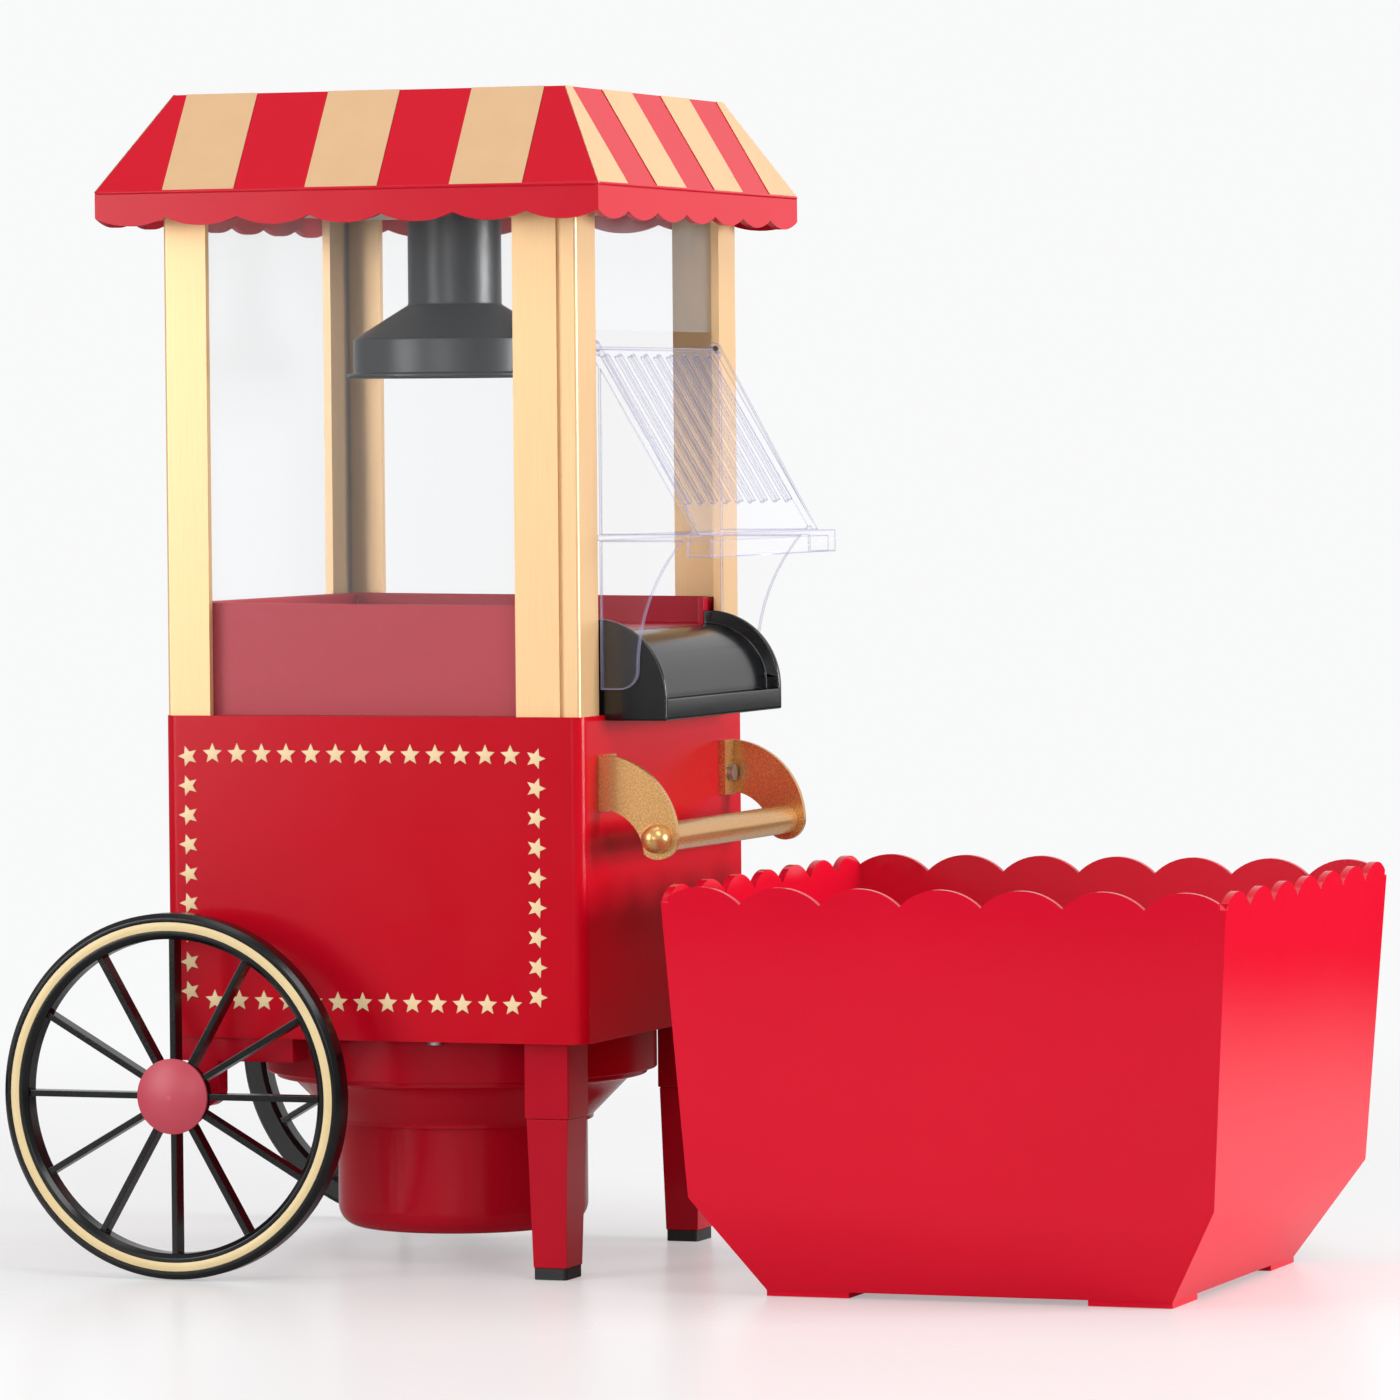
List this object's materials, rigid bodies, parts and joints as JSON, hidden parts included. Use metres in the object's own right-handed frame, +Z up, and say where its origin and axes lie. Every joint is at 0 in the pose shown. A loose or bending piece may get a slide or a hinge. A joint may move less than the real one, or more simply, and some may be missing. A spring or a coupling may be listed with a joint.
{
  "type": "popcorn maker",
  "caption": "Retro cart style hot air popcorn maker: striped roof, clear cabinet with black filler hood, front hood, chute, gold handle, spoked wheels, legs and a scalloped serving bowl.",
  "frame": {"origin": "on the table, under the middle of the box round the maker and its bowl", "axes": "+Z up; +Y from the front, where the chute, the handle and the bowl are, to the back, where the wheels are; +X to the maker's right side seen from behind the bowl"},
  "size_m": [0.2422, 0.4588, 0.4202],
  "materials": {
    "red_box": "gloss red enamel",
    "red_plastic": "gloss",
    "deck_red": "satin",
    "bowl_red": "gloss",
    "stripe_beige": "satin paint",
    "star_cream": "satin paint",
    "post_gold": "satin cream gold",
    "handle_gold": "satin gold",
    "ring_gold": "satin paint",
    "clear": "clear plastic",
    "black": "gloss black",
    "black_satin": "satin black",
    "hub_pink": "satin pinkish red",
    "rubber": "matte",
    "chamber_metal": "satin anodised",
    "steel": "zinc plated",
    "mica": "matte mica board",
    "coil": "heater wire",
    "liner_white": "satin"
  },
  "bodies": {
    "maker": {"window_left": "clear", "window_right": "clear", "window_rear": "clear", "window_front": "clear", "post_front_left": "post_gold", "post_front_right": "post_gold", "post_rear_left": "post_gold", "post_rear_right": "post_gold", "chute": "black", "inner_deck": "deck_red", "base_box": "red_box", "base_floor": "black_satin", "star_border": "star_cream", "blower_housing": "red_plastic", "motor_cup": "red_plastic", "popping_chamber": "chamber_metal", "heater_duct": "black_satin", "heater_core": "mica", "heater_coil": "coil", "thermostat": "steel", "motor": "steel", "motor_mount": "steel", "leg_sockets": "red_plastic", "leg_left": "red_plastic", "leg_right": "red_plastic", "rubber_feet": "rubber", "axle_bracket_left": "red_plastic", "axle_bracket_right": "red_plastic", "axle": "steel", "handle_arm_left": "handle_gold", "handle_arm_right": "handle_gold", "handle_bar": "handle_gold", "handle_nuts": "handle_gold", "handle_screws": "steel", "floor_screws": "steel", "switch_frame": "black", "cord_gland": "black_satin"},
    "roof": {"roof_canopy": "red_plastic", "roof_stripes": "stripe_beige", "roof_liner": "liner_white", "filler_funnel": "black_satin", "filler_hood": "black_satin"},
    "cap": {"measuring_cap": "clear"},
    "hood": {"front_hood": "clear"},
    "wheel_l": {"wheel_left": "black", "wheel_ring_left": "ring_gold", "hub_cap_left": "hub_pink"},
    "wheel_r": {"wheel_right": "black", "wheel_ring_right": "ring_gold", "hub_cap_right": "hub_pink"},
    "fan": {"fan_impeller": "black_satin", "motor_shaft": "steel"},
    "switch_rocker": {"rocker": "black_satin"},
    "bowl": {"serving_bowl": "bowl_red"}
  },
  "joints": [
    {"name": "roof_lift", "type": "slide", "parent": "maker", "child": "roof", "axis": [0, 0, 1], "range_m": [0, 0.12]},
    {"name": "cap_lift", "type": "slide", "parent": "roof", "child": "cap", "axis": [0, 0, 1], "range_m": [0, 0.05]},
    {"name": "hood_swing", "type": "hinge", "parent": "maker", "child": "hood", "pos_m": [0.0079, 0.02032, 0.329], "axis": [-1, 0, 0], "range_deg": [0, 50]},
    {"name": "wheel_left_spin", "type": "hinge", "parent": "maker", "child": "wheel_l", "pos_m": [-0.09885, 0.16437, 0.065], "axis": [1, 0, 0], "continuous": true},
    {"name": "wheel_right_spin", "type": "hinge", "parent": "maker", "child": "wheel_r", "pos_m": [0.11465, 0.16437, 0.065], "axis": [1, 0, 0], "continuous": true},
    {"name": "fan_spin", "type": "hinge", "parent": "maker", "child": "fan", "pos_m": [0.0079, 0.09763, 0.06], "axis": [0, 0, 1], "continuous": true},
    {"name": "rocker_tilt", "type": "hinge", "parent": "maker", "child": "switch_rocker", "pos_m": [-0.0221, 0.17513, 0.112], "axis": [1, 0, 0], "range_deg": [0, 16]},
    {"name": "bowl_lift", "type": "slide", "parent": "maker", "child": "bowl", "axis": [0, 0, 1], "range_m": [0, 0.06]}
  ]
}
